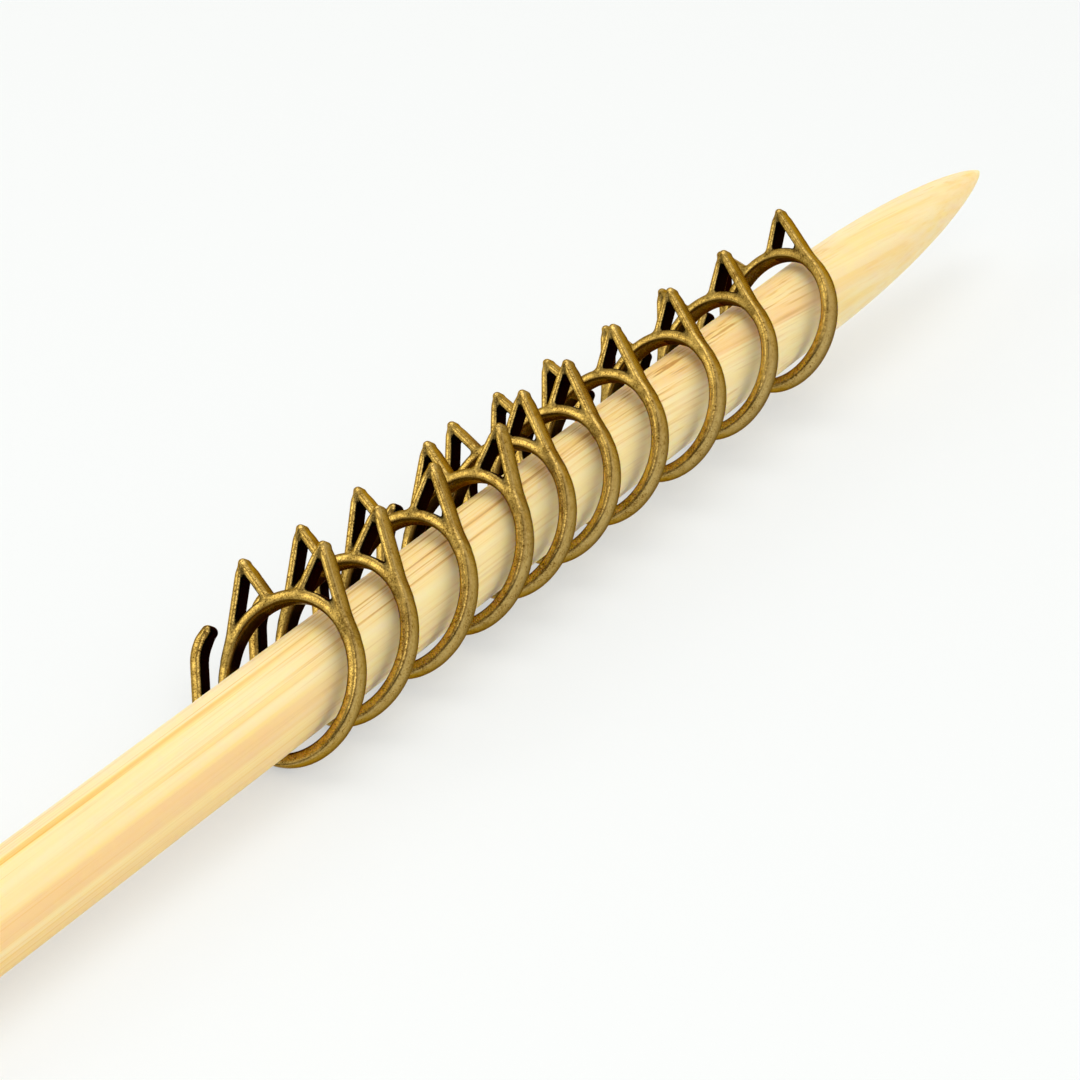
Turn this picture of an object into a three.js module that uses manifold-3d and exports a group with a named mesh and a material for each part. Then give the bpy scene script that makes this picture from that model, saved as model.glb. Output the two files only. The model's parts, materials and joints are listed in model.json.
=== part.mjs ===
// Ten cat-shaped ring stitch markers, threaded loosely on a thick bamboo knitting needle.
// Millimetres, +Z up, needle along +X with its point at the +X end.
// The markers stand on the table on their tails and ring bottoms and carry the needle.
import * as THREE from 'three';
import { mergeVertices } from 'three/addons/utils/BufferGeometryUtils.js';
import Module from 'manifold-3d';

// Needle
const needleDiameter = 10;
const needleLength = 250;
const pointLength = 48;
const pointFullness = 0.7;   // 0.5 gives an elliptical point, 1 a parabolic one
const buttEdge = 0.8;        // rounding at the blunt end
const needleRise = 1.2;      // degrees, towards the point
const needleSides = 28;
const pointRings = 11;

// Marker: one flat casting, drawn in the plane of its ring. x is to the right, y up,
// as seen from the blunt end of the needle. Lengths of bars are along their middle lines.
const slackAcross = 2.15;    // room between needle and ring, to each side
const slackUp = 2.9;         // the same, above and below: the ring is a little taller than wide
const barWidth = 1.4;
const barThickness = 2.3;
const edgeChamfer = 0.3;
const earBarWidth = 0.95;
const earRise = 4.6;         // ear tip above the ring's top
const earInset = 2.95;       // ear tip inwards from the ring's side
const earOuterFoot = 20;     // degrees round the ring, up from its right side
const earInnerFoot = 77;
const tailGap = 1.9;         // between the tail's upright and the ring
const tailUpright = 4.4;
const tailUprightBase = -1.0; // lower end of the upright, from the ring's middle
const tailBend = 4.2;        // radius at the bottom of the tail
const tailBendSweep = 82;    // degrees
const tailCurl = 4.55;       // radius at the tip of the tail
const tailCurlSweep = 47;    // degrees
const tailRoot = 222;        // degrees round the ring, where the tail springs from it
const ringFacets = 32;
const endFacets = 4;          // round each bar's end
const bendStep = 20;         // degrees of arc for each straight facet of a bend

// Where each marker hangs, from the first marker's place on the needle's axis: along it in
// marker spacings, and to its left in shares of the slack across. roll, lean and turn are in
// degrees: round the ring's own axis to the left, back towards the point, and to the left.
const firstMarkerFromButt = 88.2;
const firstMarkerHeight = 0.17; // middle of the first ring above the needle's axis
const markerSpacing = 11.8;     // on average
const places = [
  { along: 0, aside: 0.52, roll: 27, lean: 34.5, turn: -5 },
  { along: 0.88, aside: 0.55, roll: 29.5, lean: 36, turn: -8.5 },
  { along: 1.88, aside: 0.5, roll: 34, lean: 36.5, turn: -10.5 },
  { along: 2.92, aside: 0.58, roll: 30.5, lean: 34.5, turn: -14 },
  { along: 3.64, aside: 0.46, roll: 39.5, lean: 34.5, turn: -12 },
  { along: 4.49, aside: 0.52, roll: 41, lean: 35.5, turn: -13 },
  { along: 5.43, aside: 0.45, roll: 43.5, lean: 33.5, turn: -15.5 },
  { along: 6.57, aside: 0.36, roll: 47.5, lean: 35.5, turn: -18 },
  { along: 7.7, aside: 0.38, roll: 49, lean: 34.5, turn: -20.5 },
  { along: 9.01, aside: 0.33, roll: 53.5, lean: 33.5, turn: -22.5 },
];

const needleRadius = needleDiameter / 2;
const innerAcross = needleRadius + slackAcross;
const innerUp = needleRadius + slackUp;
const ringAcross = innerAcross + barWidth / 2;   // half axes of the ring's middle line
const ringUp = innerUp + barWidth / 2;

const wasm = await Module();
wasm.setup();
const { degToRad } = THREE.MathUtils;

function solidFrom(geometry) {
  geometry.deleteAttribute('normal');
  geometry.deleteAttribute('uv');
  const merged = mergeVertices(geometry, 1e-4);
  return new wasm.Manifold(new wasm.Mesh({
    numProp: 3,
    vertProperties: Float32Array.from(merged.attributes.position.array),
    triVerts: Uint32Array.from(merged.index.array),
  }));
}

function geometryFrom(solid) {
  const mesh = solid.getMesh();
  const geometry = new THREE.BufferGeometry();
  geometry.setAttribute('position', new THREE.BufferAttribute(mesh.vertProperties, 3));
  geometry.setIndex(new THREE.BufferAttribute(mesh.triVerts, 1));
  return geometry;
}

// A flat piece of the casting: the outline at full thickness, with a chamfer on every edge.
// three.js gives a whole or half round twice as many facets as its curveSegments.
function flatPiece(shape, facets) {
  const geometry = new THREE.ExtrudeGeometry(shape, {
    depth: barThickness - 2 * edgeChamfer,
    bevelEnabled: true,
    bevelThickness: edgeChamfer,
    bevelSize: edgeChamfer,
    bevelOffset: -edgeChamfer,
    bevelSegments: 1,
    curveSegments: facets / 2,
  });
  geometry.translate(0, 0, edgeChamfer - barThickness / 2);
  return solidFrom(geometry);
}

// A point on the ring's middle line.
function onRing(degrees) {
  const angle = degToRad(degrees);
  return new THREE.Vector2(ringAcross * Math.cos(angle), ringUp * Math.sin(angle));
}

function ringPiece() {
  const shape = new THREE.Shape();
  shape.absellipse(0, 0, innerAcross + barWidth, innerUp + barWidth, 0, 2 * Math.PI);
  const hole = new THREE.Path();
  hole.absellipse(0, 0, innerAcross, innerUp, 0, 2 * Math.PI, true);
  shape.holes.push(hole);
  return flatPiece(shape, ringFacets);
}

// A bar of one width along a line of points, with round ends.
function barPiece(points, width) {
  const half = width / 2;
  const last = points.length - 1;
  const sideOf = (i) => {
    const before = points[Math.max(i - 1, 0)];
    const after = points[Math.min(i + 1, last)];
    const along = after.clone().sub(before).normalize();
    return new THREE.Vector2(-along.y, along.x).multiplyScalar(half);
  };
  const left = points.map((p, i) => p.clone().add(sideOf(i)));
  const right = points.map((p, i) => p.clone().sub(sideOf(i)));
  const startAngle = points[1].clone().sub(points[0]).angle();
  const endAngle = points[last].clone().sub(points[last - 1]).angle();
  const shape = new THREE.Shape();
  shape.moveTo(right[0].x, right[0].y);
  right.slice(1).forEach((p) => shape.lineTo(p.x, p.y));
  const quarter = Math.PI / 2;
  shape.absarc(points[last].x, points[last].y, half, endAngle - quarter, endAngle + quarter);
  left.slice(0, -1).reverse().forEach((p) => shape.lineTo(p.x, p.y));
  shape.absarc(points[0].x, points[0].y, half, startAngle + quarter, startAngle - quarter + 2 * Math.PI);
  return flatPiece(shape, endFacets);
}

function earPieces(side) {
  const mirror = (p) => new THREE.Vector2(side * p.x, p.y);
  const tip = mirror(new THREE.Vector2(ringAcross - earInset, ringUp + earRise));
  return [earOuterFoot, earInnerFoot].map(
    (foot) => barPiece([mirror(onRing(foot)), tip], earBarWidth));
}

function arcPoints(centre, radius, from, sweep) {
  const count = Math.ceil(Math.abs(sweep) / bendStep);
  return Array.from({ length: count + 1 }, (_, i) => {
    const angle = degToRad(from + (sweep * i) / count);
    return new THREE.Vector2(centre.x + radius * Math.cos(angle), centre.y + radius * Math.sin(angle));
  });
}

// The tail leaves the ring at its lower left, bends up past it and curls in at the tip.
function tailPiece() {
  const uprightX = -(ringAcross + barWidth + tailGap);
  const bendCentre = new THREE.Vector2(uprightX + tailBend, tailUprightBase);
  const curlCentre = new THREE.Vector2(uprightX + tailCurl, tailUprightBase + tailUpright);
  return barPiece([
    onRing(tailRoot),
    ...arcPoints(bendCentre, tailBend, 180 + tailBendSweep, -tailBendSweep),
    ...arcPoints(curlCentre, tailCurl, 180, -tailCurlSweep),
  ], barWidth);
}

// The casting turned upright: its plane faces along X, and its right side points to -Y.
function markerGeometry() {
  const pieces = [ringPiece(), ...earPieces(1), ...earPieces(-1), tailPiece()];
  const geometry = geometryFrom(pieces.reduce((whole, piece) => whole.add(piece)));
  return geometry.applyMatrix4(new THREE.Matrix4().makeBasis(
    new THREE.Vector3(0, -1, 0), new THREE.Vector3(0, 0, 1), new THREE.Vector3(-1, 0, 0)));
}

// A turned rod: flat blunt end, straight shank, long point. Its axis is X, with the butt at 0.
function needleGeometry() {
  const shankLength = needleLength - pointLength;
  const profile = [
    new THREE.Vector2(0, 0),
    new THREE.Vector2(needleRadius - buttEdge, 0),
    new THREE.Vector2(needleRadius, buttEdge),
  ];
  for (let i = 0; i < pointRings; i += 1) {
    const share = Math.sin((Math.PI / 2) * (i / pointRings));
    profile.push(new THREE.Vector2(
      needleRadius * (1 - share * share) ** pointFullness, shankLength + share * pointLength));
  }
  profile.push(new THREE.Vector2(0, needleLength));
  const geometry = new THREE.LatheGeometry(profile, needleSides);
  geometry.rotateZ(-Math.PI / 2);
  return geometryFrom(solidFrom(geometry));
}

const bamboo = () => new THREE.MeshStandardMaterial({ color: 0xe8c98c, roughness: 0.45, metalness: 0 });
const bronze = () => new THREE.MeshStandardMaterial({ color: 0x8a6a34, roughness: 0.42, metalness: 1 });

const needle = new THREE.Mesh(needleGeometry(), bamboo());
needle.name = 'needle';
needle.position.x = -firstMarkerFromButt;

const casting = markerGeometry();
const markers = places.map((place, i) => {
  const marker = new THREE.Mesh(casting, bronze());
  marker.name = `marker_${String(i + 1).padStart(2, '0')}`;
  marker.position.set(place.along * markerSpacing, place.aside * slackAcross, 0);
  marker.rotation.set(degToRad(-place.roll), degToRad(place.lean), degToRad(place.turn), 'ZYX');
  return marker;
});

const lowest = (mesh) => new THREE.Box3().setFromObject(mesh, true).min.z;

// The first marker sets the needle's height over the table. The others then stand on the table.
markers[0].position.z = firstMarkerHeight;
markers[0].updateMatrixWorld(true);
const onNeedle = new THREE.Group();
onNeedle.position.z = -lowest(markers[0]);
onNeedle.rotation.y = degToRad(-needleRise);
onNeedle.add(needle, ...markers);
onNeedle.updateMatrixWorld(true);
markers.forEach((marker) => {
  marker.position.z -= lowest(marker) / Math.cos(degToRad(needleRise));
});

// The origin is under the middle of the whole, at the table.
const set = new THREE.Group();
set.add(onNeedle);
set.updateMatrixWorld(true);
const box = new THREE.Box3().setFromObject(set, true);
const middle = box.getCenter(new THREE.Vector3());
onNeedle.position.x -= middle.x;
onNeedle.position.y -= middle.y;
onNeedle.position.z -= box.min.z;
set.updateMatrixWorld(true);

export default set;
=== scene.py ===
# Ten cat-shaped bronze ring markers threaded on a bamboo knitting needle, on a white table.
import json
import math

import bpy
import numpy as np
from mathutils import Euler, Matrix, Vector


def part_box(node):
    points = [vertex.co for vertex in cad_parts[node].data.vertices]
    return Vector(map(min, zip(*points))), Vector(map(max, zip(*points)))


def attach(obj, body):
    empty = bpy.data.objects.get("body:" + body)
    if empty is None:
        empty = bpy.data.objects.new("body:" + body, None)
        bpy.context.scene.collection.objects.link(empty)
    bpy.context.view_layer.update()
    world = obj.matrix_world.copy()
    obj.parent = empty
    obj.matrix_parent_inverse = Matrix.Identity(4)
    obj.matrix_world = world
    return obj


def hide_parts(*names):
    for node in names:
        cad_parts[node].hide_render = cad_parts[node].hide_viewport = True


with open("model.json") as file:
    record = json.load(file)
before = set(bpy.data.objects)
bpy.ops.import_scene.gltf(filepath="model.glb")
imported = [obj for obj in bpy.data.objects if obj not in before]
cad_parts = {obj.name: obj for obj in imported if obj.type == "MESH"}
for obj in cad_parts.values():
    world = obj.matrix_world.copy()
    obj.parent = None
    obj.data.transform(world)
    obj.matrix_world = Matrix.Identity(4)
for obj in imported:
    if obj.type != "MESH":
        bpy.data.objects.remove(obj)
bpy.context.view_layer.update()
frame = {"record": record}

mm = 0.001
quarter = math.pi / 2
tiny = 1e-6   # keeps divisions by a length away from zero
scene = bpy.context.scene


class Wire:
    # one output of a node, so that a sum on it adds its Math node
    def __init__(self, tree, socket):
        self.tree, self.socket = tree, socket

    def __getitem__(self, output):
        return Wire(self.tree, self.socket.node.outputs[output])

    def maths(self, operation, *values, clamp=False):
        return self.tree.add("ShaderNodeMath", {"operation": operation, "use_clamp": clamp},
                             dict(enumerate(values)))

    def __add__(self, other): return self.maths("ADD", self, other)
    def __radd__(self, other): return self.maths("ADD", other, self)
    def __sub__(self, other): return self.maths("SUBTRACT", self, other)
    def __rsub__(self, other): return self.maths("SUBTRACT", other, self)
    def __mul__(self, other): return self.maths("MULTIPLY", self, other)
    def __rmul__(self, other): return self.maths("MULTIPLY", other, self)
    def __truediv__(self, other): return self.maths("DIVIDE", self, other)
    def __rtruediv__(self, other): return self.maths("DIVIDE", other, self)
    def __pow__(self, other): return self.maths("POWER", self, other)
    def clamped(self): return self.maths("ADD", self, 0.0, clamp=True)
    def atLeast(self, other): return self.maths("MAXIMUM", self, other)
    def root(self): return self.maths("SQRT", self)
    def sine(self): return self.maths("SINE", self)
    def size(self): return self.maths("ABSOLUTE", self)

    def between(self, low, high):
        # 0 below low, 1 above high, smooth in the middle
        return self.tree.add("ShaderNodeMapRange", {"interpolation_type": "SMOOTHSTEP"},
                             {"Value": self, "From Min": low, "From Max": high})


class Tree:
    def __init__(self, nodeTree):
        self.nodeTree = nodeTree
        nodeTree.nodes.clear()

    def add(self, kind, settings=None, inputs=None, output=0):
        node = self.nodeTree.nodes.new(kind)
        for name, value in (settings or {}).items():
            setattr(node, name, value)
        for name, value in (inputs or {}).items():
            if isinstance(value, Wire):
                self.nodeTree.links.new(value.socket, node.inputs[name])
            else:
                node.inputs[name].default_value = value
        return Wire(self, node.outputs[output]) if node.outputs else None

    def mixed(self, factor, first, second):
        return self.add("ShaderNodeMix", {"data_type": "RGBA"}, {0: factor, 6: first, 7: second},
                        output=2)

    def along(self, vector, way):
        # how far a vector points one way
        return self.add("ShaderNodeVectorMath", {"operation": "DOT_PRODUCT"},
                        {0: vector, 1: way})["Value"]

    def joined(self, x, y, z):
        return self.add("ShaderNodeCombineXYZ", None, {0: x, 1: y, 2: z})

    def split(self, vector):
        return self.add("ShaderNodeSeparateXYZ", None, {0: vector})

    def noise(self, vector, scale, detail, roughness, seed):
        return self.add("ShaderNodeTexNoise", {"noise_dimensions": "4D"},
                        {"Vector": vector, "W": seed, "Scale": scale, "Detail": detail,
                         "Roughness": roughness})

    def pressedIn(self, geometry, depth):
        # every point moved inwards, so nothing grows
        inwards = self.add("ShaderNodeVectorMath", {"operation": "SCALE"},
                           {0: self.add("GeometryNodeInputNormal"), "Scale": 0 - depth})
        return self.add("GeometryNodeSetPosition", None,
                        {"Geometry": geometry, "Offset": inwards})


def paint(code):
    # a screen colour such as "c89b50" as the linear colour that shaders take
    parts = [int(code[i:i + 2], 16) / 255 for i in (0, 2, 4)]
    linear = [p / 12.92 if p <= 0.04045 else ((p + 0.055) / 1.055) ** 2.4 for p in parts]
    return (*linear, 1.0)


def newMaterial(name, build):
    material = bpy.data.materials.new(name)
    material.use_nodes = True
    build(Tree(material.node_tree))
    return material


def nodeGroup(name, inputs):
    # a Geometry Nodes tree with a geometry in and out, and its named sizes
    group = bpy.data.node_groups.new(name, "GeometryNodeTree")
    group.interface.new_socket("Geometry", in_out="INPUT", socket_type="NodeSocketGeometry")
    group.interface.new_socket("Geometry", in_out="OUTPUT", socket_type="NodeSocketGeometry")
    for label, value in inputs.items():
        kind = "NodeSocketInt" if isinstance(value, int) else "NodeSocketFloat"
        group.interface.new_socket(label, in_out="INPUT", socket_type=kind)
    tree = Tree(group)
    return group, tree, tree.add("NodeGroupInput")


def closeGroup(tree, geometry, material):
    real = tree.add("GeometryNodeRealizeInstances", None, {"Geometry": geometry})
    tree.add("NodeGroupOutput", None, {"Geometry": tree.add(
        "GeometryNodeSetMaterial", None, {"Geometry": real, "Material": material})})


def linked(name, data):
    item = bpy.data.objects.new(name, data)
    scene.collection.objects.link(item)
    return item


def made(name, mesh, group=None, sizes=None, modifiers=()):
    # the mesh after its modifiers, as a plain mesh
    holder = linked(name, mesh)
    if group:
        modifier = holder.modifiers.new("shape", "NODES")
        modifier.node_group = group
        sockets = {s.name: s.identifier for s in group.interface.items_tree if s.in_out == "INPUT"}
        for label, value in sizes.items():
            modifier[sockets[label]] = value
    for kind, settings in modifiers:
        modifier = holder.modifiers.new(kind.lower(), kind)
        for label, value in settings.items():
            setattr(modifier, label, value)
    finished = bpy.data.meshes.new_from_object(
        holder.evaluated_get(bpy.context.evaluated_depsgraph_get()))
    bpy.data.objects.remove(holder)
    return finished


def coordinatesOf(mesh):
    flat = np.empty(len(mesh.vertices) * 3, np.float32)
    mesh.vertices.foreach_get("co", flat)
    return flat.reshape(-1, 3).astype(float)


view = {"place": (-0.35295, -0.21712, 0.21176), "turn": (63.844, -0.614, -59.254),
        "lens": 140, "sensor": 36, "nearest": 0.01}

cameraData = bpy.data.cameras.new("camera")
cameraData.lens, cameraData.sensor_width = view["lens"], view["sensor"]
cameraData.clip_start = view["nearest"]
camera = linked("camera", cameraData)
camera.location = view["place"]
camera.rotation_euler = [math.radians(a) for a in view["turn"]]
scene.camera = camera
print("camera placed")


bronze = {
    "gold": "d8b45c", "brown": "6c4a08", "line": "4e3508", "soot": "0a0703", "grey": "b39d6c",
    "edge": "d9b25c",
    "mottleScale": 1300, "gritScale": 5800, "cloudScale": 240, "seed": 3.0,
    # how much each noise dulls the plating, and what it is dulled from
    "mottle": 1.9, "cloud": 0.8, "grit": 2.8, "brownShare": 0.36, "greyShare": 0.5,
    # the dark lines: along the corners a painted dark reflection, and in patches painted shade at
    # the back edge and inside the ring
    "rimPower": 2.5, "rimShare": 0.95, "rimInRecess": 3.0, "patchShare": 0.8,
    "backFrom": (0.35, 0.9), "insideFrom": (0.02, 0.4),
    "pits": (0.60, 0.70), "sootShare": 2.1, "sootFrom": 0.15, "rubbedOff": 0.55, "sootInPits": 0.6,
    "roughness": 0.26, "dullRoughness": 0.06, "sootRoughness": 0.3,
    "bumpHeight": 0.00005, "bumpStrength": 0.6,
}


def bronzeNodes(tree):
    place = tree.add("ShaderNodeTexCoord")["Object"]
    recess, wall, rim, back, inside = [
        tree.add("ShaderNodeAttribute", {"attribute_name": fact})["Fac"]
        for fact in ("recess", "wall", "rim", "back", "inside")]
    mottle = tree.noise(place, bronze["mottleScale"], 5.0, 0.65, bronze["seed"])
    grit = tree.noise(place, bronze["gritScale"], 2.0, 0.7, bronze["seed"] + 1)
    cloud = tree.noise(place, bronze["cloudScale"], 2.0, 0.5, bronze["seed"] + 2)

    # plating worn to gold and brown; greyer on the side walls, a painted reflection; dark along the
    # outer corners, a painted dark reflection, and painted shade at the back edge and inside the
    # ring
    dull = ((mottle - 0.5) * bronze["mottle"] + (cloud - 0.5) * bronze["cloud"]
            + (grit - 0.5) * bronze["grit"])
    wearAndPaintedLight = tree.mixed((bronze["brownShare"] + dull).clamped(),
                      paint(bronze["gold"]), paint(bronze["brown"]))
    # greyer on the side walls: a painted reflection of the pale surroundings
    wearAndPaintedLight = tree.mixed((wall * (bronze["greyShare"] - dull * 0.6)).clamped(),
                      wearAndPaintedLight, paint(bronze["grey"]))
    # dark lines along the corners: painted dark reflection; at the back edge and inside the ring:
    # painted shade
    line = rim ** bronze["rimPower"] * (
        bronze["rimShare"] + dull * 0.5 - recess * bronze["rimInRecess"])
    patches = bronze["patchShare"] - dull * 0.5
    line = (line.clamped() + wall * back.between(*bronze["backFrom"]) * patches
            + inside * wall.between(*bronze["insideFrom"]) * patches).clamped()
    wearAndPaintedLight = tree.mixed(line, wearAndPaintedLight, paint(bronze["line"]))
    # the black in the recesses and pits: patina, and in the recesses painted shade too, rubbed off
    # along their corners
    speck = grit.between(*bronze["pits"]) * (mottle * 1.6).clamped()
    soot = (recess * (bronze["sootShare"] + dull * 0.5) - bronze["sootFrom"]
            - rim * bronze["rubbedOff"] + speck * bronze["sootInPits"]).clamped()
    colour = tree.mixed(soot, wearAndPaintedLight, paint(bronze["soot"]))

    bump = tree.add("ShaderNodeBump", None, {
        "Height": mottle * 0.35 + grit * 0.6 - speck,
        "Distance": bronze["bumpHeight"], "Strength": bronze["bumpStrength"]})
    roughness = (bronze["roughness"] + dull * bronze["dullRoughness"]
                 + soot * bronze["sootRoughness"]).clamped()
    shader = tree.add("ShaderNodeBsdfPrincipled", None, {
        "Base Color": colour, "Metallic": 1.0, "Specular Tint": paint(bronze["edge"]),
        "Roughness": roughness, "Normal": bump})
    tree.add("ShaderNodeOutputMaterial", None, {"Surface": shader})


bronzeMaterial = newMaterial("antiqueBronze", bronzeNodes)


# The casting is drawn flat in millimetres: x to the right, y up, as seen from the blunt end.
casting = {
    "needleRadius": 5.0, "slackAcross": 2.15, "slackUp": 2.9,
    "barWidth": 1.4, "thickness": 2.3, "earBarWidth": 0.95,
    "earRise": 4.6, "earInset": 2.95, "outerFoot": 20, "innerFoot": 77,
    "tailGap": 1.9, "tailUpright": 4.4, "tailUprightBase": -1.0,
    "tailBend": 4.2, "tailBendSweep": 82, "tailCurl": 4.55, "tailCurlSweep": 47, "tailRoot": 222,
    "edgeRound": 0.55, "earEdgeRound": 0.42, "earFrom": 0.5, "earOver": 0.8,
    "tipRound": 0.95, "tipReach": 1.5, "fillet": 0.6, "tipFillet": 0.2, "footLift": 0.3,
    "ringStep": 3, "arcStep": 4, "endReach": 0.35,
    "voxel": 0.15, "smoothing": 0.5, "smoothings": 2, "truings": 3, "slopeStep": 0.01,
}
ringAcross = casting["needleRadius"] + casting["slackAcross"] + casting["barWidth"] / 2
ringUp = casting["needleRadius"] + casting["slackUp"] + casting["barWidth"] / 2


def onRing(degrees):
    angle = math.radians(degrees)
    return np.array([ringAcross * math.cos(angle), ringUp * math.sin(angle)])


def arc(centre, radius, start, sweep):
    count = math.ceil(abs(sweep) / casting["arcStep"])
    angles = np.radians(start + sweep * np.arange(count + 1) / count)
    return np.array(centre) + radius * np.stack([np.cos(angles), np.sin(angles)], 1)


def earLines(side):
    tip = np.array([ringAcross - casting["earInset"], ringUp + casting["earRise"]])
    lines = []
    for foot in (onRing(casting["outerFoot"]), onRing(casting["innerFoot"])):
        towards = (tip - foot) / np.linalg.norm(tip - foot)
        lines.append(np.array([foot + towards * casting["footLift"], tip]) * (side, 1))
    return lines


def tailLine():
    uprightX = -(ringAcross + casting["barWidth"] + casting["tailGap"])
    bend = (uprightX + casting["tailBend"], casting["tailUprightBase"])
    curl = (uprightX + casting["tailCurl"], casting["tailUprightBase"] + casting["tailUpright"])
    return np.concatenate([
        [onRing(casting["tailRoot"])],
        arc(bend, casting["tailBend"], 180 + casting["tailBendSweep"], -casting["tailBendSweep"]),
        arc(curl, casting["tailCurl"], 180, -casting["tailCurlSweep"])])


def barLines():
    return [*earLines(1), *earLines(-1), tailLine()]


def fromLine(points, line):
    nearest = np.full(len(points), np.inf)
    for start, end in zip(line[:-1], line[1:]):
        along = end - start
        share = np.clip((points - start) @ along / (along @ along), 0, 1)
        gap = np.linalg.norm(points - start - share[:, None] * along, axis=1)
        nearest = np.minimum(nearest, gap)
    return nearest


def fromRing(points):
    half = np.array([ringAcross, ringUp])
    near = np.linalg.norm(points / half, axis=1)
    return np.abs(near * (near - 1) / np.linalg.norm(points / half ** 2, axis=1))


def blended(first, second, reach):
    # the nearer of two bars, with a fillet where they meet
    share = np.clip(0.5 + 0.5 * (second - first) / reach, 0, 1)
    return second + (first - second) * share - reach * share * (1 - share)


def outline(points):
    # how far a point in the plane is outside the casting's outline
    width, earWidth = casting["barWidth"] / 2, casting["earBarWidth"] / 2
    whole = blended(fromRing(points) - width, fromLine(points, tailLine()) - width,
                    casting["fillet"])
    for side in (1, -1):
        outer, inner = [fromLine(points, line) - earWidth for line in earLines(side)]
        whole = blended(whole, blended(outer, inner, casting["tipFillet"]), casting["fillet"])
    return whole


def slopeOf(points):
    # the way out of the outline at each point
    step = casting["slopeStep"]
    sides = [(outline(points + offset) - outline(points - offset)) / (2 * step)
             for offset in (np.array([step, 0]), np.array([0, step]))]
    slope = np.stack(sides, 1)
    return slope / np.maximum(np.linalg.norm(slope, axis=1), tiny)[:, None]


def edgeRoundAt(points):
    # the thin bars of the ears have less round edges than the ring and the tail, all tips rounder
    *ears, tail = barLines()
    ear = np.min([fromLine(points, line) for line in ears], 0)
    away = np.clip((fromRing(points) - casting["earFrom"]) / casting["earOver"], 0, 1)
    away = away * (ear < fromLine(points, tail))
    edge = casting["edgeRound"] + (casting["earEdgeRound"] - casting["edgeRound"]) * away
    tips = np.array([line[-1] for line in [*ears, tail]])
    gap = np.linalg.norm(points[:, None] - tips, axis=2).min(1)
    near = np.clip(1 - gap / casting["tipReach"], 0, 1)
    return edge + (casting["tipRound"] - edge) * near * near * (3 - 2 * near)


def trued(vertices):
    # moves each vertex on to the drawn form: the outline at full thickness, with round edges
    for _ in range(casting["truings"]):
        flat, height = vertices[:, :2], vertices[:, 2]
        edge = edgeRoundAt(flat)
        out = np.stack([outline(flat), np.abs(height) - casting["thickness"] / 2], 1)
        out = out + edge[:, None]
        beyond = np.maximum(out, 0)
        reach = np.linalg.norm(beyond, axis=1)
        gap = reach + np.minimum(out.max(1), 0) - edge
        steep = np.where((reach > tiny)[:, None], beyond / np.maximum(reach, tiny)[:, None],
                         out == out.max(1)[:, None])
        slope = slopeOf(flat)
        vertices = vertices - gap[:, None] * np.column_stack(
            [slope * steep[:, :1], steep[:, 1] * np.sign(height)])
    return vertices, slope, steep


def lineMesh():
    # every bar's middle line as edges, its free ends drawn on to where the round end reaches
    ring = np.array([onRing(a) for a in np.arange(0, 360, casting["ringStep"])])
    drawn = [(ring, True)]
    for line in barLines():
        last = line[-1] - line[-2]
        line[-1] = line[-1] + last / np.linalg.norm(last) * casting["endReach"]
        drawn.append((line, False))
    vertices, edges = [], []
    for line, closed in drawn:
        first = len(vertices)
        vertices += [(x, y, 0) for x, y in line]
        edges += [(i, i + 1) for i in range(first, len(vertices) - 1)]
        if closed:
            edges.append((len(vertices) - 1, first))
    mesh = bpy.data.meshes.new("lines")
    mesh.from_pydata(vertices, edges, [])
    return mesh


barSizes = {"Bar width": casting["barWidth"], "Thickness": casting["thickness"]}


def sweepBars():
    group, tree, given = nodeGroup("sweepBars", barSizes)
    profile = tree.add("GeometryNodeCurvePrimitiveQuadrilateral", None,
                       {"Width": given["Bar width"], "Height": given["Thickness"]})
    lines = tree.add("GeometryNodeSetCurveNormal", {"mode": "Z_UP"}, {
        "Curve": tree.add("GeometryNodeMeshToCurve", None, {"Mesh": given["Geometry"]})})
    bars = tree.add("GeometryNodeCurveToMesh", None,
                    {"Curve": lines, "Profile Curve": profile, "Fill Caps": True})
    closeGroup(tree, bars, bronzeMaterial)
    return group


# What the bronze's wear, patina, painted shade and painted reflections follow, worked out for each
# point of the casting
shelter = {"farthest": 15.5, "nearest": 0.5, "step": 0.6, "least": 0.45, "more": 0.55, "deep": 4.5,
           "cornerFrom": 1.25, "cornerOver": 1.1, "cornerShare": 0.25, "insideOver": 0.04}


def sheltered(flat, slope):
    # how much a wall is closed in by the bars across from it: 1 deep in an ear, 0 outside
    closed = np.zeros(len(flat))
    for reach in np.arange(shelter["farthest"], shelter["nearest"], -shelter["step"]):
        hit = outline(flat + slope * reach) < 0
        closed[hit] = shelter["least"] + shelter["more"] * math.exp(-(reach / shelter["deep"]) ** 2)
    return closed


def wearAndPaintedLightFacts(vertices, slope, steep):
    flat, wall = vertices[:, :2], steep[:, 0] ** 2
    near = np.sort([fromRing(flat)] + [fromLine(flat, line) for line in barLines()], 0)
    corner = np.clip(shelter["cornerFrom"] - near[1] / shelter["cornerOver"], 0, 1)
    fromMiddle = np.linalg.norm(flat / (ringAcross, ringUp), axis=1)
    return {
        "wall": wall,
        # recess: patina and painted shade in hollows, inside the ring and where bars meet
        "recess": np.clip(wall * sheltered(flat, slope) + corner * shelter["cornerShare"], 0, 1),
        # rim: the painted dark reflection on the corners and the rubbed wear; back and inside:
        # painted shade on the walls
        "rim": 1 - np.abs(2 * wall - 1),
        "back": 0.5 - vertices[:, 2] / casting["thickness"],
        "inside": np.clip((1 - fromMiddle) / shelter["insideOver"], 0, 1),
    }


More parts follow.
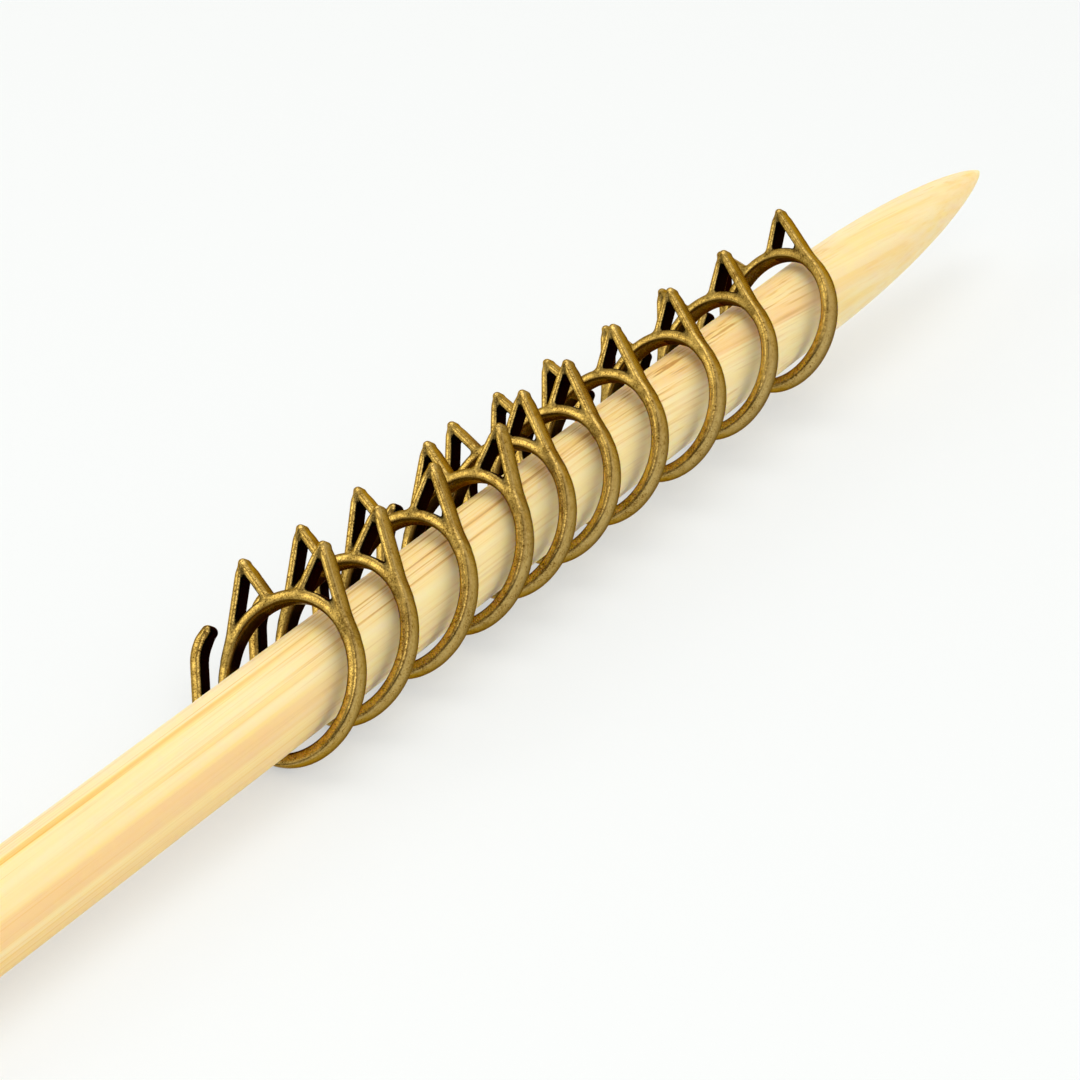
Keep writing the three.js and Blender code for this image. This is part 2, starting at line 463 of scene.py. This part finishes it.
def castMesh():
    bars = made("bars", lineMesh(), sweepBars(), barSizes)
    rough = made("casting", bars, modifiers=[
        ("REMESH", {"mode": "VOXEL", "voxel_size": casting["voxel"], "use_smooth_shade": True}),
        ("SMOOTH", {"factor": casting["smoothing"], "iterations": casting["smoothings"]})])
    vertices, slope, steep = trued(coordinatesOf(rough))
    rough.vertices.foreach_set("co", vertices.astype(np.float32).ravel())
    for name, values in wearAndPaintedLightFacts(vertices, slope, steep).items():
        rough.attributes.new(name, "FLOAT", "POINT").data.foreach_set(
            "value", values.astype(np.float32))
    rough.update()
    return rough


# The cast skin: unevenness left by the mould, and small pits
skin = {"Unevenness": 0.02, "Broad scale": 0.8, "Pit depth": 0.025, "Pit scale": 4.0, "Seed": 1.0}


def castSkin():
    group, tree, given = nodeGroup("castSkin", skin)
    position = tree.add("GeometryNodeInputPosition")
    broad = tree.noise(position, given["Broad scale"], 2.0, 0.5, given["Seed"])
    pits = tree.noise(position, given["Pit scale"], 2.0, 0.6, given["Seed"] + 7)
    depth = given["Unevenness"] * broad + given["Pit depth"] * pits.between(0.58, 0.74)
    closeGroup(tree, tree.pressedIn(given["Geometry"], depth), bronzeMaterial)
    return group


needleRise = 1.2   # degrees, towards the point
places = [  # roll to the left, lean back towards the point, and turn to the left, in degrees
    (27, 34.5, -5), (29.5, 36, -8.5), (34, 36.5, -10.5), (30.5, 34.5, -14), (39.5, 34.5, -12),
    (41, 35.5, -13), (43.5, 33.5, -15.5), (47.5, 35.5, -18), (49, 34.5, -20.5), (53.5, 33.5, -22.5),
]


def turnedBy(axis, degrees):
    return Matrix.Rotation(math.radians(degrees), 4, axis)


def hang(cast, skinGroup, index, roll, lean, turn):
    node = f"marker_{index + 1:02d}"
    upright = Euler((quarter, 0, -quarter)).to_matrix().to_4x4()
    turned = (turnedBy("Y", -needleRise) @ turnedBy("Z", turn) @ turnedBy("Y", lean)
              @ turnedBy("X", -roll) @ upright)
    hung = coordinatesOf(cast) @ np.array(turned.to_3x3()).T * mm
    low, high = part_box(node)
    shift = (low + high) / 2 - Vector((hung.min(0) + hung.max(0)) / 2)
    shift.z = low.z - hung.min(0)[2]   # its foot on the table
    mesh = made(node, cast.copy(), skinGroup, {**skin, "Seed": float(index + 1)})
    mesh.transform(Matrix.Translation(shift) @ turned @ Matrix.Scale(mm, 4))
    mesh.name = f"catMarker{index + 1:02d}"
    marker = linked(mesh.name, mesh)
    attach(marker, node)
    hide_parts(node)


cast, skinGroup = castMesh(), castSkin()
print("casting:", len(cast.polygons), "faces")
for index, angles in enumerate(places):
    hang(cast, skinGroup, index, *angles)
print("markers hung:", len(places))


butt = tuple(frame["record"]["mounts"][0]["pos_m"])   # middle of the blunt end
needle = {"Length": 250.0, "Diameter": 10.0, "Point length": 48.0, "Point fullness": 0.7,
          "Butt edge": 0.8, "Rings": 360, "Sides": 72,
          "Ripple": 0.03, "Ripple stretch": 0.03, "Ripple scale": 1.6, "Seed": 4.0}
grain = {
    "pale": "fde4b4", "straw": "fbdb92", "tan": "f3cc94", "fibre": "ae6e0a", "gold": "eab548",
    "cream": "ffecbc", "honey": "f4c566",
    # the fibres run along the shank, then near the point turn down towards the near side
    "turnFrom": 140.0, "turnRound": 15.0, "turnAcross": 0.0709, "turnUp": 0.0705,
    "bundles": 1.9, "fineness": 0.55, "seed": 11.0,
    # along the needle, in millimetres from the blunt end
    "baseEnds": (70.0, 100.0), "ringsBegin": (75.0, 95.0), "pointBegins": (189.0, 203.0),
    # round it, in degrees up from the near side: the middle and half the width of each stripe
    "stripe": (20.0, 17.0), "top": (92.0, 30.0), "topLine": (90.0, 4.5),
    "underside": (-12.0, 0.0), "streaksUp": (30.0, 75.0), "honeyUp": (30.0, 95.0),
    "roughness": 0.46, "bumpHeight": 0.00002, "bumpStrength": 0.3,
    "glow": 0.8, "glowColour": (1.0, 0.78, 0.08), "glowDepth": 0.0025, "shine": 0.4,
}


def bambooNodes(tree):
    place = tree.add("ShaderNodeTexCoord")["Object"]
    local = tree.add("ShaderNodeMapping", {"vector_type": "TEXTURE"}, {
        "Vector": place, "Location": butt, "Rotation": (0, math.radians(-needleRise), 0),
        "Scale": (mm, mm, mm)})
    at = tree.split(local)
    x, y, z = at["X"], at["Y"], at["Z"]
    around = z.maths("ARCTAN2", z, 0 - y) * math.degrees(1)
    past = (x - grain["turnFrom"]).atLeast(0.0)
    bend = grain["turnRound"]
    drift = (past * past + bend ** 2).root() - bend
    y, z = y + drift * grain["turnAcross"], z + drift * grain["turnUp"]

    def fibres(stretch, scale, detail, seed):
        return tree.noise(tree.joined(x * stretch, y, z), scale, detail, grain["fineness"],
                          grain["seed"] + seed)

    def offMiddle(stripe, sway=0.0):
        # 0 in the middle of a stripe, 1 at its sides
        middle, half = grain[stripe]
        return (around - middle + sway).size() / half

    broad = fibres(0.01, 0.28, 2.0, 0)
    band = fibres(0.008, 1.0, 2.0, 1)
    long = fibres(0.004, 3.4, 2.0, 2)
    streak = fibres(0.008, 2.7, 3.0, 3)
    fade = fibres(0.08, 0.7, 1.0, 4)
    cells = tree.add("ShaderNodeTexVoronoi", {"feature": "F1", "voronoi_dimensions": "3D"}, {
        "Vector": tree.joined(x * 0.010, y, z), "Scale": grain["bundles"], "Randomness": 1.0})
    bundle = 1 - cells["Distance"].between(0.05, 0.22)

    base = 1 - x.between(*grain["baseEnds"])
    plain = x.between(*grain["pointBegins"])
    strong = (1 - plain * 0.9) * (0.2 + x.between(*grain["ringsBegin"]) * 0.8)
    colour = tree.mixed(band.between(0.35, 0.65), paint(grain["pale"]), paint(grain["straw"]))
    # paler cream through the ring zone: painted light that lifts the rings' shade
    colour = tree.mixed(strong * 0.5, colour, paint(grain["cream"]))
    # a pinkish stripe low on the near side of the base, and broad pinkish bands past it
    stripe = 1 - offMiddle("stripe", (band - 0.5) * 20).between(0.55, 1.0)
    bands = broad.between(0.50, 0.62) * (1 - base) * (1 - plain * 0.7)
    colour = tree.mixed((bands + stripe * base) * 0.75, colour, paint(grain["tan"]))
    # yellow lines, most of them along the top, and a yellower underside of the base
    top = 1 - offMiddle("top").between(0.3, 1.0)
    topLine = 1 - offMiddle("topLine").between(0.1, 1.0)
    yellow = (long.between(0.56, 0.63) * (0.25 + top * 0.6) * (0.5 + base * 0.5)
              + base * (1 - around.between(*grain["underside"])) * 0.3 + base * topLine * 0.6)
    colour = tree.mixed(yellow.clamped(), colour, paint(grain["gold"]))
    # honey tone and brown grain streaks, most of them high up under the rings: grain, with painted
    # shade of the rings there
    high = 0.35 + around.between(*grain["streaksUp"]) * 0.75
    soft = (streak.between(0.46, 0.60) * fade.between(0.30, 0.52) * strong * high).clamped()
    line = (streak.between(0.54, 0.66) * 0.9 + bundle * 0.7).clamped() * fade.between(0.36, 0.58)
    line = (line * strong * high).clamped()
    # a golden tone high up through the ring zone: painted shade under the rings' arcs
    colour = tree.mixed(strong * around.between(*grain["honeyUp"]) * (0.10 + long * 0.35),
                        colour, paint(grain["honey"]))
    colour = tree.mixed(soft * 0.6, colour, paint(grain["honey"]))
    colour = tree.mixed(line * 0.7, colour, paint(grain["fibre"]))

    bump = tree.add("ShaderNodeBump", None, {
        "Height": long * 0.4 - line,
        "Distance": grain["bumpHeight"], "Strength": grain["bumpStrength"]})
    shader = tree.add("ShaderNodeBsdfPrincipled", None, {
        "Base Color": colour, "Roughness": grain["roughness"] + line * 0.12, "Normal": bump,
        "Subsurface Weight": grain["glow"], "Subsurface Radius": grain["glowColour"],
        "Subsurface Scale": grain["glowDepth"], "Specular IOR Level": grain["shine"]})
    tree.add("ShaderNodeOutputMaterial", None, {"Surface": shader})


bambooMaterial = newMaterial("lacqueredBamboo", bambooNodes)


def turnedNeedle():
    group, tree, given = nodeGroup("turnedNeedle", needle)
    edgeShare, pointShare = 0.03, 0.4   # of the rings, round the butt's edge and along the point
    share = tree.add("GeometryNodeSplineParameter")["Factor"]
    edgeTurn = (share / edgeShare).clamped() * quarter
    pointTurn = ((share - (1 - pointShare)) / pointShare).clamped() * quarter
    middle = ((share - edgeShare) / (1 - edgeShare - pointShare)).clamped()
    alongPoint = pointTurn.sine()
    alongEdge = 1 - (quarter - edgeTurn).sine()
    shank = given["Length"] - given["Point length"]
    x = (given["Butt edge"] * alongEdge + (shank - given["Butt edge"]) * middle
         + given["Point length"] * alongPoint)
    fullness = (1 - alongPoint * alongPoint).atLeast(0.0) ** given["Point fullness"]
    thick = given["Diameter"] * 0.5 * fullness - given["Butt edge"] * (1 - edgeTurn.sine())

    rod = tree.add("GeometryNodeCurvePrimitiveLine", None, {"End": (1.0, 0.0, 0.0)})
    rod = tree.add("GeometryNodeResampleCurve", None, {"Curve": rod, "Count": given["Rings"]})
    rod = tree.add("GeometryNodeSetCurveRadius", None, {"Curve": rod, "Radius": thick})
    rod = tree.add("GeometryNodeSetPosition", None,
                   {"Geometry": rod, "Position": tree.joined(x, 0.0, 0.0)})
    circle = tree.add("GeometryNodeCurvePrimitiveCircle", None,
                      {"Resolution": given["Sides"], "Radius": 1.0})
    turned = tree.add("GeometryNodeCurveToMesh", None,
                      {"Curve": rod, "Profile Curve": circle, "Fill Caps": True,
                       "Scale": tree.add("GeometryNodeInputRadius")})
    turned = tree.add("GeometryNodeMergeByDistance", None,
                      {"Geometry": turned, "Distance": 0.002})
    spot = tree.split(tree.add("GeometryNodeInputPosition"))
    stretched = tree.joined(spot["X"] * given["Ripple stretch"], spot["Y"], spot["Z"])
    ripple = tree.noise(stretched, given["Ripple scale"], 2.0, 0.5, given["Seed"])
    turned = tree.pressedIn(turned, ripple * given["Ripple"])
    turned = tree.add("GeometryNodeSetShadeSmooth", None, {"Geometry": turned})
    closeGroup(tree, turned, bambooMaterial)
    return group


rodMesh = made("bambooNeedle", bpy.data.meshes.new("start"), turnedNeedle(), needle)
rodMesh.transform(Matrix.Translation(butt) @ turnedBy("Y", -needleRise) @ Matrix.Scale(mm, 4))
rodMesh.name = "bambooNeedle"
rod = linked("bambooNeedle", rodMesh)
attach(rod, "needle")
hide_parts("needle")
print("needle:", len(rodMesh.polygons), "faces")


studio = {
    "table": "f4f7f8", "tableHalf": 4.0, "tableRoughness": 0.6, "tableShine": 0.25, "lift": 0.52,
    "skyColour": (1.0, 0.965, 0.89, 1.0), "sky": 0.66, "dark": 0.6, "glow": 0.25,
    "darkSide": (-0.78, -0.50, 0.25), "darkSpread": (0.62, 0.92),
    "brightSide": (0.72, -0.60, 0.2), "brightSpread": (-0.2, 0.9),
    "lamps": [  # name, place, size across and down, watts
        ("key", (0.16, 0.10, 0.84), 0.6, 0.6, 2.2),
        ("side", (-0.60, -0.45, 0.62), 0.6, 0.6, 2.6),
        ("rear", (-0.45, 0.60, 0.45), 0.5, 0.35, 0.9),
    ],
}


def tableNodes(tree):
    shader = tree.add("ShaderNodeBsdfPrincipled", None, {
        "Base Color": paint(studio["table"]), "Roughness": studio["tableRoughness"],
        "Specular IOR Level": studio["tableShine"]})
    # to the camera and in reflections the table is in part evenly pale: its shadows stay light
    pale = tree.add("ShaderNodeEmission", None, {"Color": paint(studio["table"]), "Strength": 1.0})
    path = tree.add("ShaderNodeLightPath")
    seen = (path["Is Camera Ray"] + path["Is Glossy Ray"] + path["Is Transmission Ray"]).clamped()
    tree.add("ShaderNodeOutputMaterial", None, {"Surface": tree.add(
        "ShaderNodeMixShader", None, {0: seen * studio["lift"], 1: shader, 2: pale})})


def skyNodes(tree):
    # even all round, with one brighter side and a dark patch for the bronze to reflect
    towards = tree.add("ShaderNodeTexCoord")["Generated"]
    bright = tree.along(towards, studio["brightSide"]).between(*studio["brightSpread"])
    dark = tree.along(towards, studio["darkSide"]).between(*studio["darkSpread"])
    level = studio["sky"] + bright * studio["glow"] - dark * studio["dark"]
    tree.add("ShaderNodeOutputWorld", None, {"Surface": tree.add(
        "ShaderNodeBackground", None, {"Color": studio["skyColour"], "Strength": level})})


half = studio["tableHalf"]
tableMesh = bpy.data.meshes.new("table")
tableMesh.from_pydata([(-half, -half, 0), (half, -half, 0), (half, half, 0), (-half, half, 0)],
                      [], [(0, 1, 2, 3)])
tableMesh.materials.append(newMaterial("paleTable", tableNodes))
table = linked("table", tableMesh)

scene.world = bpy.data.worlds.new("studio")
scene.world.use_nodes = True
skyNodes(Tree(scene.world.node_tree))

for name, place, across, down, watts in studio["lamps"]:
    lampData = bpy.data.lights.new(name, "AREA")
    lampData.shape, lampData.energy = "RECTANGLE", watts
    lampData.size, lampData.size_y = across, down
    lamp = linked(name, lampData)
    lamp.location = place
    lamp.rotation_euler = (-Vector(place)).to_track_quat("-Z", "Y").to_euler()
print("lamps:", len(studio["lamps"]))

scene.view_settings.view_transform = "Standard"
print("scene ready")
